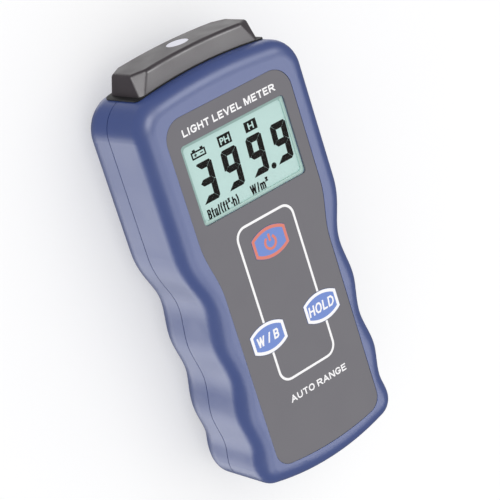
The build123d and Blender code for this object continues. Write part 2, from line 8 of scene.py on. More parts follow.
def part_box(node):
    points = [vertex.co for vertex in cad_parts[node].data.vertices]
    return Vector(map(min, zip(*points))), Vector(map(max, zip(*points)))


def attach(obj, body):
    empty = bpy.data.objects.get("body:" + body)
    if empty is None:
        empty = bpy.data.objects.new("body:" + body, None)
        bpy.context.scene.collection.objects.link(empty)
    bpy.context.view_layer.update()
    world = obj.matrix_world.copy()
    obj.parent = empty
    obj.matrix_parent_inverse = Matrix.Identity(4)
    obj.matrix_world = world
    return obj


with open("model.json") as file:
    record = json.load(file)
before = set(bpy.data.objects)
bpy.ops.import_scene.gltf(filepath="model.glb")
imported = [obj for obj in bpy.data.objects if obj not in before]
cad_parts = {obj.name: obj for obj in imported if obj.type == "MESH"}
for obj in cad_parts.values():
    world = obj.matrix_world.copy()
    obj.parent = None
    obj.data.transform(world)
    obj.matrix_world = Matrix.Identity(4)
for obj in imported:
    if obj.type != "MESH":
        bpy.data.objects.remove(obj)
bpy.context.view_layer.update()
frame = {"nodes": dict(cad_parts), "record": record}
MM = 0.001

# Lengths are in millimetres of the row frame, unless a comment says otherwise:
# +Z out of the display, +Y towards the sensor head, +X to the right.
PRINT = 0.03                # how far printed ink stands off its surface


def top_of(node):
    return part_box(node)[1].z / MM


def bottom_of(node):
    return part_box(node)[0].z / MM


def middle_of(node):
    low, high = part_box(node)
    return (low + high) / 2 / MM


FILM_TOP = top_of("overlay_panel") + PRINT
LCD_TOP = top_of("lcd_polariser") + PRINT
KEY_PRINT = top_of("power_key") + PRINT / 5
LABEL_PRINT = bottom_of("rating_label") - PRINT


# Camera: where it stands, what it looks at, its roll and its focal length in millimetres

CAMERA = Vector((-320.16, 209.52, 522.88)) * MM
AIM = Vector((-3.741, 3.936, 28.184)) * MM
ROLL = math.radians(-17.666)
LENS = 156.352
SENSOR_WIDTH = 36
CLIP = (0.01, 50)           # metres


def make_camera():
    data = bpy.data.cameras.new("camera")
    data.sensor_width = SENSOR_WIDTH
    data.lens = LENS
    data.clip_start, data.clip_end = CLIP
    camera = bpy.data.objects.new("camera", data)
    bpy.context.scene.collection.objects.link(camera)
    back = (CAMERA - AIM).normalized()
    level = Vector((0, 1, 0)).cross(back).normalized()
    upright = back.cross(level)
    right = math.cos(ROLL) * level + math.sin(ROLL) * upright
    up = math.cos(ROLL) * upright - math.sin(ROLL) * level
    turn = Matrix((right, up, back)).transposed().to_4x4()
    camera.matrix_world = Matrix.Translation(CAMERA) @ turn
    bpy.context.scene.camera = camera


# Light: a pale world and wide soft lamps.
# A card only shows in glossy surfaces, and a fill only lights matt ones.

LAMPS = (                   # name, direction that it shines from, strength, width in degrees, kind
    ("left_fill", (-0.80, -0.10, 0.60), 0.35, 70, "fill"),
    ("top_fill", (0.10, 0.30, 0.95), 0.5, 70, "fill"),
    ("front_card", (0.508, -0.33, 0.795), 0.88, 40, "card"),
    ("side_card", (-0.49, -0.50, -0.715), 1.00, 44, "card"),
    ("head_card", (0.509, 0.33, -0.795), 0.57, 50, "card"),
    ("slope_card", (0.50, 0.20, 0.84), 1.7, 22, "card"),
    ("top_card", (0.506, 0.45, 0.74), 1.0, 34, "card"),
    ("corner_card", (-0.26, 0.44, 0.86), 1.4, 36, "card"),
    ("left_card", (-0.16, -0.38, 0.905), 0.62, 36, "card"),
    ("facet_card", (-0.75, 0.43, 0.50), 2.7, 50, "card"),
)
FLAGS = {                   # a card, a node, and whether the card misses that node or reaches nothing else
    "side_card": ("sensor_head", "EXCLUDE"),
    "facet_card": ("sensor_head", "INCLUDE"),
    "slope_card": ("sensor_head", "INCLUDE"),
    "top_card": ("front_shell", "INCLUDE"),
    "corner_card": ("front_shell", "INCLUDE"),
    "left_card": ("front_shell", "INCLUDE"),
}
WORLD_DIFFUSE, WORLD_GLOSSY, WORLD_SEEN = 0.80, 0.22, 0.97      # the strength for each kind of ray


def make_light():
    for name, direction, strength, angle, kind in LAMPS:
        data = bpy.data.lights.new(name, "SUN")
        data.energy = strength
        data.angle = math.radians(angle)
        lamp = bpy.data.objects.new(name, data)
        lamp.rotation_mode = "QUATERNION"
        lamp.rotation_quaternion = Vector(direction).to_track_quat("Z", "Y")
        lamp.location = Vector(direction)
        lamp.visible_diffuse = kind == "fill"
        lamp.visible_glossy = kind == "card"
        bpy.context.scene.collection.objects.link(lamp)
        if name in FLAGS:
            flag = bpy.data.collections.new(name + "_flag")
            node, state = FLAGS[name]
            flag.objects.link(frame["nodes"][node])
            lamp.light_linking.receiver_collection = flag
            flag.collection_objects[0].light_linking.link_state = state
    world = bpy.data.worlds.new("studio")
    bpy.context.scene.world = world
    world.use_nodes = True
    tree = world.node_tree
    background = tree.nodes["Background"]
    path = tree.nodes.new("ShaderNodeLightPath")
    level = WORLD_DIFFUSE
    for ray, strength in (("Is Glossy Ray", WORLD_GLOSSY), ("Is Camera Ray", WORLD_SEEN)):
        choice = tree.nodes.new("ShaderNodeMix")
        tree.links.new(path.outputs[ray], choice.inputs["Factor"])
        if isinstance(level, float):
            choice.inputs["A"].default_value = level
        else:
            tree.links.new(level, choice.inputs["A"])
        choice.inputs["B"].default_value = strength
        level = choice.outputs["Result"]
    tree.links.new(level, background.inputs["Strength"])
    background.inputs["Color"].default_value = (1, 1, 1, 1)
    bpy.context.scene.view_settings.view_transform = "Standard"


# Materials

def linear(red, green, blue):
    """A colour from 0-255 display values, as the shader wants it."""
    channels = []
    for value in (red, green, blue):
        v = value / 255
        channels.append(v / 12.92 if v <= 0.04045 else ((v + 0.055) / 1.055) ** 2.4)
    return (*channels, 1)


class Surface:
    """A node material whose patterns are in millimetres of the row frame."""

    def __init__(self, name):
        self.material = bpy.data.materials.new(name)
        self.material.use_nodes = True
        self.tree = self.material.node_tree
        self.shader = self.tree.nodes["Principled BSDF"]
        place = self.tree.nodes.new("ShaderNodeTexCoord")
        scale = self.tree.nodes.new("ShaderNodeMapping")
        scale.inputs["Scale"].default_value = (1 / MM,) * 3
        self.tree.links.new(place.outputs["Object"], scale.inputs["Vector"])
        self.place = scale.outputs["Vector"]

    def link(self, output, node, socket):
        self.tree.links.new(output, node.inputs[socket])

    def noise(self, size, detail=2.0, roughness=0.5, stretch=None):
        """Noise whose lumps are about size millimetres across."""
        place = self.place
        if stretch:
            mapping = self.tree.nodes.new("ShaderNodeMapping")
            mapping.inputs["Scale"].default_value = stretch
            self.link(place, mapping, "Vector")
            place = mapping.outputs["Vector"]
        node = self.tree.nodes.new("ShaderNodeTexNoise")
        node.inputs["Scale"].default_value = 1 / size
        node.inputs["Detail"].default_value = detail
        node.inputs["Roughness"].default_value = roughness
        self.link(place, node, "Vector")
        return node.outputs["Fac"]

    def spread(self, value, low, high, from_low=0.3, from_high=0.7):
        """The value, stretched from its usual range to low and high."""
        node = self.tree.nodes.new("ShaderNodeMapRange")
        limits = {"From Min": from_low, "From Max": from_high, "To Min": low, "To Max": high}
        for socket, number in limits.items():
            node.inputs[socket].default_value = number
        self.link(value, node, "Value")
        return node.outputs["Result"]

    def mix(self, factor, first, second):
        """A blend of two colours, each a value or a socket."""
        node = self.tree.nodes.new("ShaderNodeMix")
        node.data_type = "RGBA"
        self.link(factor, node, "Factor")
        for socket, colour in (("A", first), ("B", second)):
            target = next(i for i in node.inputs if i.name == socket and i.type == "RGBA")
            if isinstance(colour, bpy.types.NodeSocket):
                self.tree.links.new(colour, target)
            else:
                target.default_value = colour
        return next(o for o in node.outputs if o.type == "RGBA")

    def math(self, operation, first, second=0.0):
        node = self.tree.nodes.new("ShaderNodeMath")
        node.operation = operation
        for index, value in enumerate((first, second)):
            if isinstance(value, bpy.types.NodeSocket):
                self.tree.links.new(value, node.inputs[index])
            else:
                node.inputs[index].default_value = value
        return node.outputs["Value"]

    def relief(self, height, depth):
        """A bump of that height map, depth millimetres from its lowest to its highest."""
        node = self.tree.nodes.new("ShaderNodeBump")
        node.inputs["Distance"].default_value = depth * MM
        self.link(height, node, "Height")
        self.link(node.outputs["Normal"], self.shader, "Normal")


def scaled(colour, factor):
    return (*(min(1, c * factor) for c in colour[:3]), 1)


def textured(name, colour, roughness, grain=0.4, depth=0.006, shade=0.08, cloud=9.0, patchy=0.05, **values):
    """Moulded or printed material: soft clouds and fine grain in the colour, uneven gloss, a fine relief.
    Grain, depth and cloud are in millimetres. Shade and patchy say how far colour and roughness vary."""
    s = Surface(name)
    fine, broad = s.noise(grain, detail=3.0, roughness=0.6), s.noise(cloud)
    tone = s.mix(s.spread(broad, 0, 1), scaled(colour, 1 - shade), scaled(colour, 1 + shade))
    speck = s.mix(s.spread(fine, 0, 1), scaled(colour, 1 - shade), scaled(colour, 1 + shade))
    s.link(s.mix(s.spread(broad, 0.35, 0.65), tone, speck), s.shader, "Base Color")
    s.link(s.spread(broad, roughness - patchy, roughness + patchy), s.shader, "Roughness")
    s.relief(fine, depth)
    for socket, value in values.items():
        s.shader.inputs[socket.replace("_", " ")].default_value = value
    return s.material


WINDOW_CLEAR = (0.985, 1.0, 0.99, 1)    # what passes through
WINDOW_TINT = (0.75, 0.86, 0.84, 1)     # the surface itself
WINDOW_BLEND, WINDOW_GLOSS = 0.12, 0.35


def clear_window(name):
    """Clear plastic: what is behind shows through, and the surface mirrors a little."""
    s = Surface(name)
    nodes = s.tree.nodes
    clear = nodes.new("ShaderNodeBsdfTransparent")
    clear.inputs["Color"].default_value = WINDOW_CLEAR
    s.shader.inputs["Base Color"].default_value = WINDOW_TINT
    smudge = s.noise(7.0, detail=3.0)
    s.link(s.spread(smudge, 0.06, 0.14), s.shader, "Roughness")
    edge = nodes.new("ShaderNodeLayerWeight")
    edge.inputs["Blend"].default_value = WINDOW_BLEND
    both = nodes.new("ShaderNodeMixShader")
    s.link(s.math("MULTIPLY", edge.outputs["Fresnel"], WINDOW_GLOSS), both, 0)
    s.tree.links.new(clear.outputs[0], both.inputs[1])
    s.tree.links.new(s.shader.outputs[0], both.inputs[2])
    s.tree.links.new(both.outputs[0], nodes["Material Output"].inputs["Surface"])
    return s.material


def brushed(name, colour, roughness=0.32):
    """Plated metal with fine drawn lines."""
    s = Surface(name)
    lines = s.noise(0.15, detail=3.0, roughness=0.6, stretch=(1.0, 1.0, 0.12))
    broad = s.noise(2.5)
    s.link(s.mix(s.spread(broad, 0, 1), scaled(colour, 0.85), scaled(colour, 1.1)), s.shader, "Base Color")
    s.shader.inputs["Metallic"].default_value = 1.0
    s.link(s.spread(lines, roughness - 0.08, roughness + 0.1), s.shader, "Roughness")
    s.relief(lines, 0.004)
    return s.material


TRACK_HALF = 0.035          # how much of the noise on each side of its middle makes a track


def board_surface(name):
    """Solder mask with darker tracks under it."""
    s = Surface(name)
    tracks = s.noise(1.6, detail=0.0, roughness=0.0, stretch=(1.0, 0.35, 1.0))
    band = s.math("LESS_THAN", s.math("ABSOLUTE", s.math("SUBTRACT", tracks, 0.5)), TRACK_HALF)
    s.link(s.mix(band, linear(22, 84, 48), linear(46, 122, 76)), s.shader, "Base Color")
    s.shader.inputs["Roughness"].default_value = 0.3
    s.relief(band, 0.02)
    return s.material


PORE = 0.7                  # millimetres


def foam_surface(name):
    """Open-cell foam: grey, darkened into the pores as painted shade."""
    s = Surface(name)
    cells = s.tree.nodes.new("ShaderNodeTexVoronoi")
    cells.inputs["Scale"].default_value = 1 / PORE
    s.link(s.place, cells, "Vector")
    pore_depth_and_shade = s.spread(cells.outputs["Distance"], 0, 1, from_low=0.1, from_high=0.6)
    # painted shade: the colour darkens into the pores, which the relief also sinks
    s.link(s.mix(pore_depth_and_shade, linear(52, 52, 54), linear(104, 104, 106)), s.shader, "Base Color")
    s.shader.inputs["Roughness"].default_value = 0.95
    s.relief(pore_depth_and_shade, 0.25)
    return s.material


# Moulded and printed materials: the colour from 0 to 255, then roughness, grain, depth, shade, cloud
# and patchy as textured() takes them, then shader values
TEXTURED = {
    "case_blue": ((55, 76, 137), (0.38, 0.35, 0.004, 0.04, 14, 0.03), {"IOR": 1.8}),
    "film_grey": ((110, 108, 114), (0.55, 0.3, 0.003, 0.05, 10, 0.04), {}),
    "lcd_glass": ((195, 220, 219), (0.45, 0.25, 0.0, 0.012, 12, 0.02), {}),
    "lcd_back": ((190, 219, 213), (0.6, 0.3, 0.002, 0.03), {}),
    "frame_white": ((215, 215, 210), (0.5,), {}),
    "zebra_rubber": ((170, 160, 150), (0.8, 0.1, 0.004, 0.25, 4), {}),
    "key_blue": ((101, 132, 206), (0.42, 0.25, 0.003, 0.05, 5, 0.03), {}),
    "key_rod": ((225, 225, 220), (0.45,), {}),
    "switch_black": ((38, 38, 40), (0.5, 0.3, 0.005, 0.15), {}),
    "head_black": ((53, 43, 51), (0.45, 0.22, 0.012, 0.25, 6, 0.05), {"IOR": 1.8}),
    "gasket_black": ((34, 34, 36), (0.6, 0.3, 0.004, 0.15), {}),
    "diffuser_white": ((230, 230, 240), (0.7, 0.2, 0.002, 0.015, 3, 0.03), {}),
    "optic_glass": ((90, 130, 140), (0.15, 0.5, 0.0, 0.1), {}),
    "battery_jacket": ((34, 36, 44), (0.3, 0.5, 0.002, 0.08, 8, 0.04), {}),
    "snap_black": ((36, 36, 38), (0.6, 0.3, 0.01, 0.15), {}),
    "lead_red": ((186, 34, 34), (0.45, 0.4, 0.004, 0.08), {}),
    "ink_white": ((250, 249, 250), (0.5, 0.2, 0.002, 0.012, 6, 0.03), {}),
    "ink_coral": ((222, 122, 104), (0.5, 0.2, 0.002, 0.05, 4, 0.03), {}),
    "ink_black": ((30, 30, 32), (0.5, 0.2, 0.002, 0.1, 5, 0.03), {}),
    "lcd_ink": ((30, 26, 26), (0.7, 0.2, 0.0, 0.06, 3, 0.03), {"Specular_IOR_Level": 0.1}),
    # The window's edge in two copies of one colour: painted shade at the left and the top, painted light at
    # the right and the bottom
    "window_edge_painted_shade": ((150, 182, 177), (0.45, 0.3, 0.002, 0.06, 4, 0.03), {}),
    "window_edge_painted_light": ((186, 214, 208), (0.45, 0.3, 0.002, 0.03, 4, 0.03), {}),
    "ink_orange": ((226, 138, 46), (0.3, 0.3, 0.002, 0.05, 6, 0.03), {}),
}


def make_materials():
    made = {
        name: textured(name, linear(*colour), *values, **extra)
        for name, (colour, values, extra) in TEXTURED.items()
    }
    return made | {
        "window_clear": clear_window("window_clear"),
        "board_green": board_surface("board_green"),
        "steel": brushed("steel", linear(200, 200, 204)),
        "foam_grey": foam_surface("foam_grey"),
        "label_silver": brushed("label_silver", linear(205, 205, 208), roughness=0.42),
    }


# Pieces


def add_piece(name, points, faces, material, body):
    """A mesh piece from points in millimetres, which rides on a body. Unused points are left out."""
    used = sorted({i for face in faces for i in face})
    index = {old: new for new, old in enumerate(used)}
    mesh = bpy.data.meshes.new(name)
    corners = [[index[i] for i in face] for face in faces]
    mesh.from_pydata([Vector(points[i]) * MM for i in used], [], corners)
    mesh.update()
    mesh.materials.append(MATERIALS[material])
    piece = bpy.data.objects.new(name, mesh)
    bpy.context.scene.collection.objects.link(piece)
    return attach(piece, body)


def arc(centre, radius, start, end, steps=8):
    """Points along an arc, angles in degrees."""
    turn = [math.radians(start + (end - start) * i / steps) for i in range(steps + 1)]
    return [(centre[0] + radius * math.cos(a), centre[1] + radius * math.sin(a)) for a in turn]


SHARPEST = 0.5              # keeps the corner of a sharp bend from running far out


def ribbon_sides(path, width, closed=False):
    """The points on the left and on the right of each point of a line of that width."""
    count = len(path)
    sides = []
    for i, point in enumerate(path):
        before = path[i - 1] if closed or i else point
        after = path[(i + 1) % count] if closed or i + 1 < count else point
        runs = [Vector(b) - Vector(a) for a, b in ((before, point), (point, after)) if a != b]
        normals = [Vector((-run.y, run.x)).normalized() for run in runs]
        mean = sum(normals, Vector((0, 0))).normalized()
        offset = mean * (width / 2) / max(SHARPEST, mean.dot(normals[0]))
        sides.append((Vector(point) + offset, Vector(point) - offset))
    return sides


def ribbon(name, path, width, z, material, body, closed=False):
    """A flat line of that width along the path."""
    count = len(path)
    points = [(p.x, p.y, z) for pair in ribbon_sides(path, width, closed) for p in pair]
    faces = []
    for i in range(count if closed else count - 1):
        a, b = 2 * i, 2 * ((i + 1) % count)
        faces.append((a + 1, b + 1, b, a))
    return add_piece(name, points, faces, material, body)


def patch(name, shapes, z, material, body):
    """Flat polygons, each a list of points in order, counter-clockwise from the front."""
    points, faces = [], []
    for shape in shapes:
        faces.append(tuple(range(len(points), len(points) + len(shape))))
        points += [(x, y, z) for x, y in shape]
    return add_piece(name, points, faces, material, body)


CAP_HEIGHT = 0.729          # height of a capital in the font, at size 1
BOLD_COPIES = ((0, 0), (1, 0), (-1, 0), (0, 1), (0, -1))        # bold text is drawn again at each of these
STROKE_STEP = 0.004         # copies of a text and strokes of a letter lie this far over one another
CURVE_STEPS = 4


def lettering(name, text, x_range, baseline, height, z, material, body, bold=0.0, rear=False):
    """Text fitted into x_range, standing on the baseline, and bold millimetres wider on every side.
    On the rear it reads from behind."""
    curve = bpy.data.curves.new(name + "_curve", "FONT")
    curve.body = text
    curve.fill_mode = "FRONT"
    curve.resolution_u = CURVE_STEPS
    source = bpy.data.objects.new(name + "_curve", curve)
    bpy.context.scene.collection.objects.link(source)
    bpy.context.view_layer.update()
    mesh = bpy.data.meshes.new_from_object(source.evaluated_get(bpy.context.evaluated_depsgraph_get()))
    bpy.data.objects.remove(source)
    xs = [v.co.x for v in mesh.vertices]
    low, across = min(xs), (x_range[1] - x_range[0] - 2 * bold) / (max(xs) - min(xs))
    up = (height - 2 * bold) / CAP_HEIGHT
    side = -1 if rear else 1
    points, faces = [], []
    for layer, (right, rise) in enumerate(BOLD_COPIES if bold else BOLD_COPIES[:1]):
        start, level = len(points), z + side * layer * STROKE_STEP
        left, foot = x_range[0] + (1 + right) * bold, baseline + (1 + rise) * bold
        points += [
            (side * (left + (v.co.x - low) * across), foot + v.co.y * up, level) for v in mesh.vertices
        ]
        faces += [tuple(start + i for i in tuple(face.vertices)[::side]) for face in mesh.polygons]
    return add_piece(name, points, faces, material, body)


# Block letters: the width against the height, then strokes on a grid from 0 to 1
BOWL = [(0.28, 0), (0.72, 0), (1, 0.28)]
LETTERS = {
    "A": (0.84, [(0, 0), (0.5, 1)], [(0.5, 1), (1, 0)], [(0.2, 0.3), (0.8, 0.3)]),
    "B": (0.76, [(0, 0.52), (0, 1), (0.7, 1), (0.95, 0.86), (0.95, 0.66), (0.7, 0.52)],
          [(0, 0.52), (0.7, 0.52), (1, 0.38), (1, 0.14), (0.7, 0), (0, 0), (0, 0.52)]),
    "D": (0.78, [(0, 0.5), (0, 1), (0.6, 1), (1, 0.7), (1, 0.3), (0.6, 0), (0, 0), (0, 0.5)]),
    "E": (0.68, [(1, 1), (0, 1), (0, 0), (1, 0)], [(0, 0.52), (0.85, 0.52)]),
    "G": (0.82, [(0.95, 0.84), (0.72, 1), (0.28, 1), (0, 0.72), (0, 0.28), *BOWL, (1, 0.42)],
          [(0.62, 0.42), (1, 0.42)]),
    "H": (0.76, [(0, 0), (0, 1)], [(1, 0), (1, 1)], [(0, 0.52), (1, 0.52)]),
    "I": (0.22, [(0, 0), (0, 1)]),
    "L": (0.64, [(0, 1), (0, 0), (1, 0)]),
    "M": (0.92, [(0, 0), (0, 1)], [(0.08, 1), (0.5, 0)], [(0.5, 0), (0.92, 1)], [(1, 0), (1, 1)]),
    "N": (0.80, [(0, 0), (0, 1)], [(0.06, 1), (0.94, 0)], [(1, 0), (1, 1)]),
    "O": (0.84, [(0, 0.5), (0, 0.28), *BOWL, (1, 0.72), (0.72, 1), (0.28, 1), (0, 0.72), (0, 0.5)]),
    "R": (0.78, [(0, 0.48), (0, 1), (0.7, 1), (1, 0.86), (1, 0.62), (0.7, 0.48), (0, 0.48)],
          [(0, 0), (0, 0.48)], [(0.55, 0.48), (1, 0)]),
    "T": (0.72, [(0, 1), (1, 1)], [(0.5, 1), (0.5, 0)]),
    "U": (0.78, [(0, 1), (0, 0.28), *BOWL, (1, 1)]),
    "V": (0.78, [(0, 1), (0.5, 0)], [(0.5, 0), (1, 1)]),
    "W": (1.10, [(0, 1), (0.25, 0)], [(0.25, 0), (0.5, 1)], [(0.5, 1), (0.75, 0)], [(0.75, 0), (1, 1)]),
    "/": (0.45, [(0, 0), (1, 1)]),
    " ": (0.18,),
    "f": (0.48, [(1, 1), (0.55, 1), (0.36, 0.9), (0.36, 0)], [(0, 0.7), (1, 0.7)]),
    "h": (0.80, [(0, 0), (0, 1)], [(0, 0.56), (0.3, 0.7), (0.7, 0.7), (1, 0.54), (1, 0)]),
    "m": (1.00, [(0, 0), (0, 0.7)], [(0, 0.6), (0.15, 0.7), (0.38, 0.7), (0.5, 0.6), (0.5, 0)],
          [(0.5, 0.6), (0.65, 0.7), (0.88, 0.7), (1, 0.6), (1, 0)]),
    "t": (0.48, [(0.36, 1), (0.36, 0.1), (0.55, 0), (1, 0)], [(0, 0.7), (1, 0.7)]),
    "u": (0.68, [(0, 0.7), (0, 0.08), (0.18, 0), (0.6, 0), (1, 0.12)], [(1, 0.7), (1, 0)]),
    "(": (0.44, [(1, 1.06), (0.1, 0.72), (0.1, 0.22), (1, -0.12)]),
    ")": (0.44, [(0, 1.06), (0.9, 0.72), (0.9, 0.22), (0, -0.12)]),
    "·": (0.18, [(0.5, 0.38), (0.5, 0.44)]),
    "²": (0.46, [(0, 1.1), (0.9, 1.1)], [(0, 0.76), (1, 1.06)], [(0, 0.76), (1, 0.76)]),
}
LETTER_SPACE = 0.14         # between letters, against the height


def stroke_sides(path, half, closed):
    """The left and right points of a letter's stroke, with square ends, or level ones if it slants."""
    run = path[1] - path[0]
    if len(path) == 2 and run.x and run.y:
        reach = run * (half / abs(run.y))
        side = Vector((half * run.length / run.y, 0))
        return [(end - side, end + side) for end in (path[0] - reach, path[1] + reach)]
    if not closed:
        last = path[-1] - path[-2]
        path = [path[0] - run.normalized() * half, *path[1:-1], path[-1] + last.normalized() * half]
    return ribbon_sides(path, 2 * half, closed)


def block_text(name, text, x_range, baseline, height, z, material, body, stroke, lean=0.0):
    """Bold block letters fitted into x_range, on the baseline. The stroke is a share of the height."""
    length = sum(LETTERS[c][0] for c in text) + LETTER_SPACE * (len(text) - 1)
    across = (x_range[1] - x_range[0] - lean * height) / length
    half = stroke * height / 2
    points, faces, left = [], [], x_range[0]
    for letter in text:
        width = LETTERS[letter][0] * across
        for layer, grid in enumerate(LETTERS[letter][1:]):
            closed = grid[0] == grid[-1]
            path = [
                Vector((left + half + gx * (width - 2 * half), half + gy * (height - 2 * half)))
                for gx, gy in (grid[:-1] if closed else grid)
            ]
            start, count, level = len(points), len(path), z + layer * STROKE_STEP
            sides = stroke_sides(path, half, closed)
            points += [(p.x + lean * p.y, baseline + p.y, level) for pair in sides for p in pair]
            for i in range(count if closed else count - 1):
                a, b = start + 2 * i, start + 2 * ((i + 1) % count)
                faces.append((a + 1, b + 1, b, a))
        left += width + LETTER_SPACE * across
    return add_piece(name, points, faces, material, body)


# Front film

LOOP = (10.45, 13.3, -35.1, 3.5)        # half width, top, bottom and corner radius
LOOP_LINE = 0.75
KEY_HALF = 4.6 + 0.15                   # the loop stops this far from the middle of a key
FILM_TEXTS = (                          # name, words, x range, baseline, height and stroke
    ("title", "LIGHT LEVEL METER", (-17.0, 16.9), 45.1, 2.2, 0.21),
    ("mode_text", "AUTO RANGE", (-9.5, 12.2), -42.0, 2.1, 0.2),
)


def make_film_print():
    x, top, bottom, r = LOOP
    key = middle_of("unit_key").y
    left, right = -x + r, x - r
    upper = [
        (-x, key + KEY_HALF), *arc((left, top - r), r, 180, 90),
        *arc((right, top - r), r, 90, 0), (x, key + KEY_HALF),
    ]
    lower = [
        (-x, key - KEY_HALF), *arc((left, bottom + r), r, 180, 270),
        *arc((right, bottom + r), r, 270, 360), (x, key - KEY_HALF),
    ]
    ribbon("loop_upper", upper, LOOP_LINE, FILM_TOP, "ink_white", "case")
    ribbon("loop_lower", lower, LOOP_LINE, FILM_TOP, "ink_white", "case")
    for name, words, x_range, baseline, height, stroke in FILM_TEXTS:
        block_text(name, words, x_range, baseline, height, FILM_TOP, "ink_white", "case", stroke)


# Keys

KEY_SHAPE = (6.3, 2.7, 4.6)             # half width, half height of the sides, and of the middle
BORDER = 1.0
BORDER_EDGE = 0.05                      # the border stops this far inside the key's outline
SIDE_INSET = 0.55                       # the corners come in by this share of an inset
POWER_RING = ((0, -0.15), 1.9, 125, 415, 32)        # middle, radius, first and last angle, and steps
POWER_BAR = [(0, 2.5), (0, 0.2)]
POWER_LINE = 0.8
KEY_TEXTS = (                           # key, words, x range and baseline from its middle, height, stroke
    ("unit", "W / B", (-4.6, 3.9), -1.45, 2.95, 0.19),
    ("hold", "HOLD", (-5.1, 4.9), -1.5, 3.1, 0.18),
)
KEY_LEAN = 0.12


def barrel(inset, steps=14):
    """The key's outline, counter-clockwise, drawn in by inset."""
    x, side, middle = KEY_SHAPE[0] - inset, KEY_SHAPE[1] - inset * SIDE_INSET, KEY_SHAPE[2] - inset
    rise = middle - side
    radius = (x * x + rise * rise) / (2 * rise)
    points = []
    for sign in (1, -1):
        for i in range(steps + 1):
            across = sign * x * (1 - 2 * i / steps)
            y = middle - radius + math.sqrt(radius * radius - across * across)
            points.append((across, sign * y))
    return points


def moved(points, place):
    return [(x + place.x, y + place.y) for x, y in points]


def make_keys():
    for key, ink in (("power", "ink_coral"), ("unit", "ink_white"), ("hold", "ink_white")):
        place = middle_of(key + "_key")
        outer, inner = barrel(BORDER_EDGE), barrel(BORDER)
        count = len(outer)
        points = [(x, y, KEY_PRINT) for x, y in moved(outer + inner, place)]
        faces = [(i, (i + 1) % count, count + (i + 1) % count, count + i) for i in range(count)]
        add_piece(key + "_border", points, faces, ink, key + "_button")
    place = middle_of("power_key")
    for name, line in (("power_ring", arc(*POWER_RING)), ("power_bar", POWER_BAR)):
        ribbon(name, moved(line, place), POWER_LINE, KEY_PRINT, "ink_coral", "power_button")
    for key, words, (left, right), foot, height, stroke in KEY_TEXTS:
        x, y = middle_of(key + "_key").xy
        block_text(key + "_text", words, (x + left, x + right), y + foot, height, KEY_PRINT, "ink_white",
                   key + "_button", stroke, KEY_LEAN)


# Display

SEGMENTS = {"3": "abcdg", "9": "abcdfg"}
DIGIT = (5.85, 11.75)       # width and height
STROKE, SEGMENT_GAP, SEGMENT_CUT = 1.95, 0.03, 0.75     # the gap is half the space between two segments
DIGIT_LEAN = 0.055
DIGITS = "3999"
DIGITS_X, DIGITS_Y, DIGIT_PITCH = -16.3, 24.3, 9.25
POINT = ((9.75, 24.85), 0.9, 0, 345, 23)                # middle, radius, first and last angle, and steps
UNITS = (                                               # name, words, x range, baseline, height and stroke
    ("lcd_unit_left", "Btu/(ft²·h)", (-16.4, -5.0), 19.8, 2.85, 0.17),
    ("lcd_unit_right", "W/m²", (-0.4, 6.3), 20.0, 2.8, 0.175),
)
SIGNS = (                                               # name, letters, box across and up, side margin
    ("peak", "PH", (-6.0, -1.3), (37.2, 40.4), 0.65),
    ("held", "H", (3.9, 8.3), (37.3, 40.4), 1.2),
)
SIGN_FOOT, SIGN_HEIGHT, SIGN_BOLD = 0.5, 2.15, 0.08
BATTERY_SIGN = ((-15.5, -10.9), (37.75, 39.5))          # across and up
BATTERY_LINE = 0.48
KNOB_X, KNOB_Y = (0.4, 1.4), (0.2, 0.8)                 # from the sign's end, and from its top
POLE_X, POLE_HALF = (0.7, 1.7), 0.16                    # a pole's dash from the end, and half its thickness
PLUS_X, PLUS_REACH = (1.04, 1.36), 0.5
WINDOW_CORNER, EDGE = 1.2, 0.95                         # the window's corner radius and its edge's width
SMALLEST_CORNER = 0.05


def segment_shapes(code, left):
    """The polygons of a seven-segment digit whose lower left corner is at (left, DIGITS_Y)."""
    (w, h), t, g, c = DIGIT, STROKE, SEGMENT_GAP, SEGMENT_CUT
    m, k = h / 2, t / 2
    end, joint = m + 2 * g, t / 4
    shapes = {
        "a": [(c, h), (c / 2 + g, h - c / 2), (t + g, h - t), (w - t - g, h - t),
              (w - c / 2 - g, h - c / 2), (w - c, h)],
        "b": [(w, h - c), (w - c / 2, h - c / 2 - g), (w - t, h - t - g), (w - t, m + k + g),
              (w - joint - k, m + k + g), (w - joint, end), (w, end)],
        "d": [(g, 0), (w - c, 0), (w - c / 2 - g, c / 2), (w - t - g, t), (t + g, t)],
        "f": [(c / 2, h - c / 2 - g), (0, h - c), (0, end), (joint, end), (joint + k, m + k + g),
              (t, m + k + g), (t, h - t - g)],
        "g": [(joint, m), (joint + k, m - k), (w - joint - k, m - k), (w - joint, m),
              (w - joint - k, m + k), (joint + k, m + k)],
    }
    shapes["c"] = [(x, h - y) for x, y in reversed(shapes["b"])]
    return [[(left + x + DIGIT_LEAN * y, DIGITS_Y + y) for x, y in shapes[part]] for part in SEGMENTS[code]]


def rectangle(x, y):
    return [(x[0], y[0]), (x[1], y[0]), (x[1], y[1]), (x[0], y[1])]


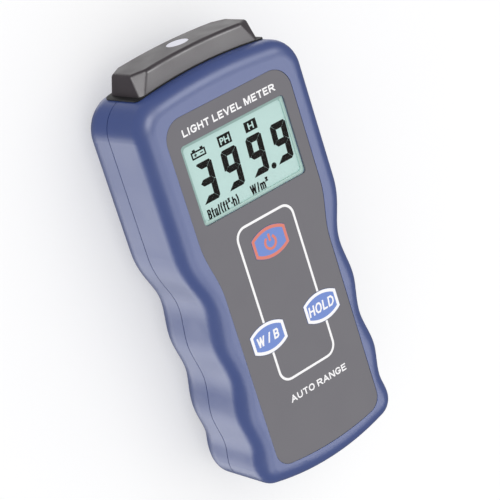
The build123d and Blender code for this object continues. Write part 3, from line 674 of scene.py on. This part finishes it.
def make_display():
    low, high = (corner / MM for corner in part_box("display_window"))
    face = rounded(low.xy, high.xy, EDGE, WINDOW_CORNER + EDGE)
    patch("lcd_face", [face], LCD_TOP - PRINT / 2, "lcd_glass", "case")
    shapes = [s for i, code in enumerate(DIGITS) for s in segment_shapes(code, DIGITS_X + i * DIGIT_PITCH)]
    patch("lcd_digits", shapes, LCD_TOP, "lcd_ink", "case")
    patch("lcd_point", [arc(*POINT)], LCD_TOP, "lcd_ink", "case")
    for name, words, x_range, baseline, height, stroke in UNITS:
        block_text(name, words, x_range, baseline, height, LCD_TOP, "lcd_ink", "case", stroke)
    for name, letters, x, y, margin in SIGNS:
        patch(f"lcd_{name}_box", [rectangle(x, y)], LCD_TOP, "lcd_ink", "case")
        x_range, foot = (x[0] + margin, x[1] - margin), y[0] + SIGN_FOOT
        lettering(f"lcd_{name}_text", letters, x_range, foot, SIGN_HEIGHT, LCD_TOP + PRINT / 2,
                  "lcd_glass", "case", SIGN_BOLD)
    (left, right), (low, high) = BATTERY_SIGN
    outline = rectangle(*BATTERY_SIGN)
    ribbon("lcd_battery_case", outline, BATTERY_LINE, LCD_TOP, "lcd_ink", "case", closed=True)
    middle = (low + high) / 2
    knob_y, pole_y = (high + KNOB_Y[0], high + KNOB_Y[1]), (middle - POLE_HALF, middle + POLE_HALF)
    plus_x = (left + PLUS_X[0], left + PLUS_X[1])
    marks = [
        rectangle((left + KNOB_X[0], left + KNOB_X[1]), knob_y),
        rectangle((right - KNOB_X[1], right - KNOB_X[0]), knob_y),
        rectangle((left + POLE_X[0], left + POLE_X[1]), pole_y),
        rectangle(plus_x, (middle + POLE_HALF, middle + PLUS_REACH)),
        rectangle(plus_x, (middle - PLUS_REACH, middle - POLE_HALF)),
        rectangle((right - POLE_X[1], right - POLE_X[0]), pole_y),
    ]
    patch("lcd_battery_marks", marks, LCD_TOP, "lcd_ink", "case")


def rounded(low, high, inset, corner):
    """A rectangle with rounded corners, from the middle of its right side, counter-clockwise."""
    (x0, y0), (x1, y1) = low, high
    x0, y0, x1, y1 = x0 + inset, y0 + inset, x1 - inset, y1 - inset
    r = max(SMALLEST_CORNER, corner - inset)
    return (
        arc((x1 - r, y1 - r), r, 0, 90, 6) + arc((x0 + r, y1 - r), r, 90, 180, 6)
        + arc((x0 + r, y0 + r), r, 180, 270, 6) + arc((x1 - r, y0 + r), r, 270, 360, 6)
    )


def make_window_edge():
    """The edge of the window, over the ledge that holds it and down the ledge's inner wall, in two copies
    of one colour: a darker one as painted shade at the left and the top, and a paler one as painted light
    elsewhere.
    """
    low, high = (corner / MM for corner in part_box("display_window"))
    outer = rounded(low.xy, high.xy, 0.0, WINDOW_CORNER)
    inner = rounded(low.xy, high.xy, EDGE, WINDOW_CORNER + EDGE)
    count = len(outer)
    points = [(x, y, low.z + PRINT) for x, y in outer + inner]
    points += [(x, y, LCD_TOP - PRINT / 2) for x, y in inner]
    painted_shade_span = range(count // 8, count * 5 // 8)      # the painted shade runs from the top right corner round to the lower left one
    for name, part in (
        ("window_edge_painted_shade", [i for i in range(count) if i in painted_shade_span]),
        ("window_edge_painted_light", [i for i in range(count) if i not in painted_shade_span]),
    ):
        rings = [(i + ring, (i + 1) % count + ring) for ring in (0, count) for i in part]
        faces = [(a, b, b + count, a + count) for a, b in rings]
        add_piece(name, points, faces, name, "case")


# Rear

LABEL_MARGIN = 2.5
LABEL_TITLE = ("LIGHT METER", 6.5, 3.0, 0.08)           # words, drop from the label's top, height, boldness
LABEL_ROWS = ("RANGE 0 - 1999", "BATTERY 9 V", "LIGHT SENSOR")
ROW_DROP, ROW_PITCH, ROW_HEIGHT = 13.0, 6.0, 1.7        # the first row's drop, the next ones', and a letter
LETTER_PITCH = 1.45
RULE_DROP, RULE_LINE = 1.6, 0.2                         # the line under each row


def make_label():
    """Plain lines on the rating label, read from behind."""
    low, high = (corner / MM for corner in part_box("rating_label"))
    left, right = low.x + LABEL_MARGIN, high.x - LABEL_MARGIN
    words, drop, height, bold = LABEL_TITLE
    lettering("label_title", words, (left, right), high.y - drop, height, LABEL_PRINT, "ink_black", "case",
              bold, rear=True)
    for index, words in enumerate(LABEL_ROWS):
        y = high.y - ROW_DROP - ROW_PITCH * index
        end = left + len(words) * LETTER_PITCH
        lettering(f"label_row_{index}", words, (left, end), y, ROW_HEIGHT, LABEL_PRINT, "ink_black",
                  "case", rear=True)
        rule = [(-left, y - RULE_DROP), (-right, y - RULE_DROP)]
        line = ribbon(f"label_line_{index}", rule, RULE_LINE, LABEL_PRINT, "ink_black", "case")
        line.data.flip_normals()


BAND_SIDE = 2.6                                         # from the battery's sides
BAND = (16.0, 0.4)                                      # from the battery's top end
BATTERY_TEXT = ("9V", (-6.0, 6.0), 34.0, 8.0, 0.2)      # words, x range, drop, height and boldness


def make_battery_print():
    low, high = (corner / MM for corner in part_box("battery"))
    z = low.z - PRINT
    band = rectangle((low.x + BAND_SIDE, high.x - BAND_SIDE), (high.y - BAND[0], high.y - BAND[1]))
    patch("battery_band", [band], z, "ink_orange", "case").data.flip_normals()
    words, x_range, drop, height, bold = BATTERY_TEXT
    lettering("battery_text", words, x_range, high.y - drop, height, z, "ink_orange", "case", bold,
              rear=True)


# Floor

FLOOR_REACH = 6.0           # metres each way
FLOOR_DROP = 0.02           # millimetres under the object, so that the two faces don't share a plane
FLOOR_SHADES = ((0.60, 0.60, 0.61, 1), (0.62, 0.62, 0.62, 1))
FLOOR_CLOUD = 220.0
FLOOR_ROUGHNESS, FLOOR_SPECULAR = 0.9, 0.1
FLOOR_GLOW = 0.40           # keeps the shadow on the floor pale


def make_floor():
    s = Surface("floor")
    broad = s.noise(FLOOR_CLOUD)
    s.link(s.mix(s.spread(broad, 0, 1), *FLOOR_SHADES), s.shader, "Base Color")
    s.shader.inputs["Roughness"].default_value = FLOOR_ROUGHNESS
    s.shader.inputs["Specular IOR Level"].default_value = FLOOR_SPECULAR
    s.shader.inputs["Emission Color"].default_value = (1, 1, 1, 1)
    s.shader.inputs["Emission Strength"].default_value = FLOOR_GLOW
    mesh = bpy.data.meshes.new("floor")
    corners = rectangle((-FLOOR_REACH, FLOOR_REACH), (-FLOOR_REACH, FLOOR_REACH))
    mesh.from_pydata([(x, y, -FLOOR_DROP * MM) for x, y in corners], [], [(0, 1, 2, 3)])
    mesh.materials.append(s.material)
    floor = bpy.data.objects.new("floor", mesh)
    floor.visible_shadow = False
    floor.visible_glossy = False
    bpy.context.scene.collection.objects.link(floor)


def paint_cad_nodes():
    """Gives each CAD node the material of its slot in the record."""
    for part in frame["record"]["subparts"]:
        node = frame["nodes"][part["node"]]
        for held in node.material_slots:
            held.material = MATERIALS[part["material_slot"]]


make_camera()
MATERIALS = make_materials()
make_light()
make_floor()
paint_cad_nodes()
make_film_print()
make_keys()
make_display()
make_window_edge()
make_label()
make_battery_print()
